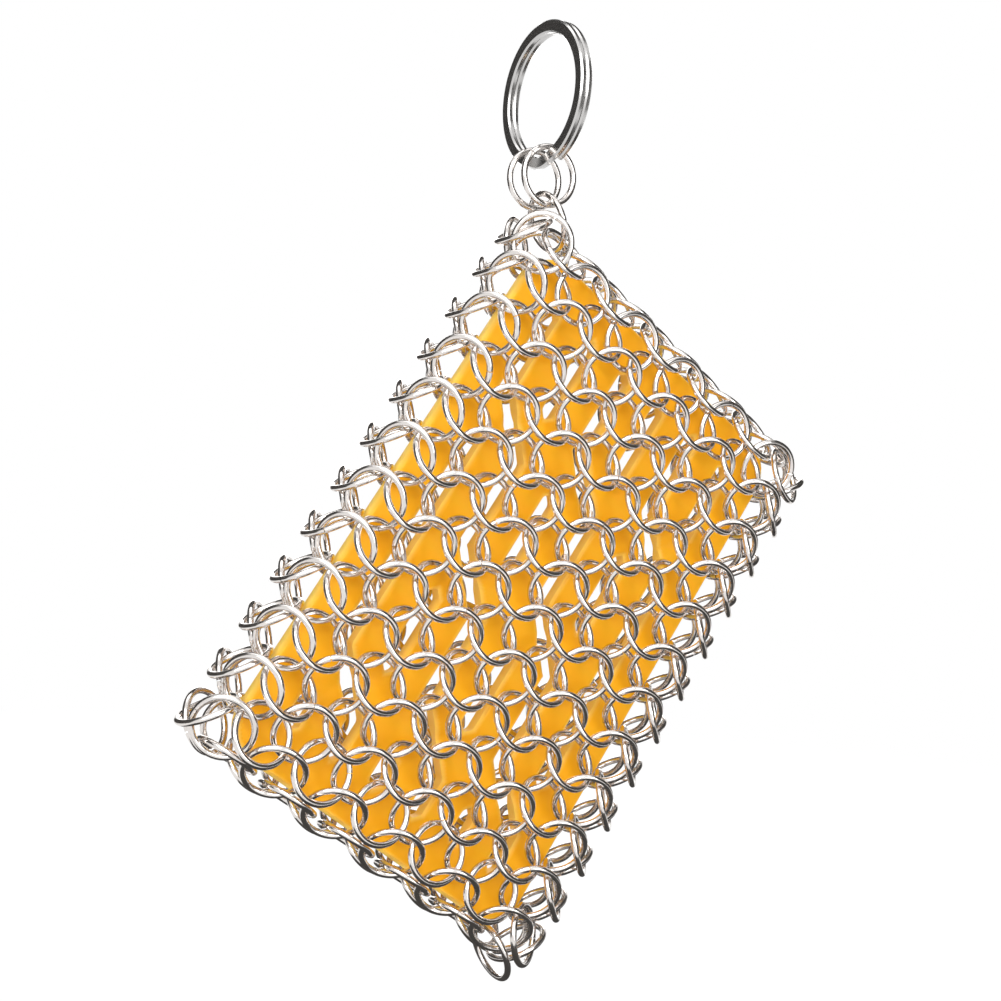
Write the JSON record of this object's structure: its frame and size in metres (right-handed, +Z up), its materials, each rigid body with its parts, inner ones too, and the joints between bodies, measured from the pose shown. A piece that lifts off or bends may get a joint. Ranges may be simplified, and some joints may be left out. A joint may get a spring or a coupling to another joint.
{
  "type": "pot scrubber",
  "caption": "Flat pouch of linked steel rings with a slotted silicone pad inside, for scouring pans, hung by one corner from a split ring.",
  "frame": {"origin": "inner top of the split ring, where a hook carries it", "axes": "+Z up, the pouch's front face looks along -Y, the split ring's axis lies along X"},
  "size_m": [0.11, 0.023, 0.1494],
  "materials": {
    "ring_steel": "polished stainless wire",
    "strip_steel": "plated spring strip",
    "silicone": "matt yellow silicone"
  },
  "bodies": {
    "hanging_ring": {"split_ring": "strip_steel"},
    "hangers": {"hanger_rings": "ring_steel"},
    "mail_01": {"top_closing_row": "ring_steel", "mail_row_01": "ring_steel", "mail_row_02": "ring_steel"},
    "mail_02": {"mail_row_03": "ring_steel", "mail_row_04": "ring_steel"},
    "mail_03": {"mail_row_05": "ring_steel", "mail_row_06": "ring_steel"},
    "mail_04": {"mail_row_07": "ring_steel", "mail_row_08": "ring_steel"},
    "mail_05": {"mail_row_09": "ring_steel", "mail_row_10": "ring_steel"},
    "mail_06": {"mail_row_11": "ring_steel", "mail_row_12": "ring_steel", "silicone_pad": "silicone"},
    "mail_07": {"mail_row_13": "ring_steel", "mail_row_14": "ring_steel"},
    "mail_08": {"mail_row_15": "ring_steel", "mail_row_16": "ring_steel"},
    "mail_09": {"mail_row_17": "ring_steel", "mail_row_18": "ring_steel"},
    "mail_10": {"mail_row_19": "ring_steel", "mail_row_20": "ring_steel"},
    "mail_11": {"mail_row_21": "ring_steel", "mail_row_22": "ring_steel"},
    "mail_12": {"mail_row_23": "ring_steel", "mail_row_24": "ring_steel", "bottom_closing_row": "ring_steel"}
  },
  "joints": [
    {"name": "hanger_swing", "type": "hinge", "parent": "hanging_ring", "child": "hangers", "pos_m": [0, 0, -0.0205], "axis": [0, 1, 0], "range_deg": [-20, 20]},
    {"name": "pouch_swing", "type": "hinge", "parent": "hangers", "child": "mail_01", "pos_m": [0, 0, -0.02493], "axis": [0, 1, 0], "range_deg": [-40, 40]},
    {"name": "mail_bend_01", "type": "hinge", "parent": "mail_01", "child": "mail_02", "pos_m": [0.02199, 0, -0.05245], "axis": [0.8394, 0, -0.5434], "range_deg": [-2.5, 2.5], "deforming": ["silicone_pad"]},
    {"name": "mail_bend_02", "type": "hinge", "parent": "mail_02", "child": "mail_03", "pos_m": [0.01759, 0, -0.05924], "axis": [0.8394, 0, -0.5434], "range_deg": [-2.5, 2.5], "deforming": ["silicone_pad"]},
    {"name": "mail_bend_03", "type": "hinge", "parent": "mail_03", "child": "mail_04", "pos_m": [0.01319, 0, -0.06603], "axis": [0.8394, 0, -0.5434], "range_deg": [-2.5, 2.5], "deforming": ["silicone_pad"]},
    {"name": "mail_bend_04", "type": "hinge", "parent": "mail_04", "child": "mail_05", "pos_m": [0.00879, 0, -0.07282], "axis": [0.8394, 0, -0.5434], "range_deg": [-2.5, 2.5], "deforming": ["silicone_pad"]},
    {"name": "mail_bend_05", "type": "hinge", "parent": "mail_05", "child": "mail_06", "pos_m": [0.0044, 0, -0.07962], "axis": [0.8394, 0, -0.5434], "range_deg": [-2.5, 2.5], "deforming": ["silicone_pad"]},
    {"name": "mail_bend_06", "type": "hinge", "parent": "mail_06", "child": "mail_07", "pos_m": [0, 0, -0.08641], "axis": [0.8394, 0, -0.5434], "range_deg": [-2.5, 2.5], "deforming": ["silicone_pad"]},
    {"name": "mail_bend_07", "type": "hinge", "parent": "mail_07", "child": "mail_08", "pos_m": [-0.0044, 0, -0.0932], "axis": [0.8394, 0, -0.5434], "range_deg": [-2.5, 2.5], "deforming": ["silicone_pad"]},
    {"name": "mail_bend_08", "type": "hinge", "parent": "mail_08", "child": "mail_09", "pos_m": [-0.00879, 0, -0.09999], "axis": [0.8394, 0, -0.5434], "range_deg": [-2.5, 2.5], "deforming": ["silicone_pad"]},
    {"name": "mail_bend_09", "type": "hinge", "parent": "mail_09", "child": "mail_10", "pos_m": [-0.01319, 0, -0.10678], "axis": [0.8394, 0, -0.5434], "range_deg": [-2.5, 2.5], "deforming": ["silicone_pad"]},
    {"name": "mail_bend_10", "type": "hinge", "parent": "mail_10", "child": "mail_11", "pos_m": [-0.01759, 0, -0.11358], "axis": [0.8394, 0, -0.5434], "range_deg": [-2.5, 2.5], "deforming": ["silicone_pad"]},
    {"name": "mail_bend_11", "type": "hinge", "parent": "mail_11", "child": "mail_12", "pos_m": [-0.02199, 0, -0.12037], "axis": [0.8394, 0, -0.5434], "range_deg": [-2.5, 2.5], "deforming": ["silicone_pad"]}
  ]
}
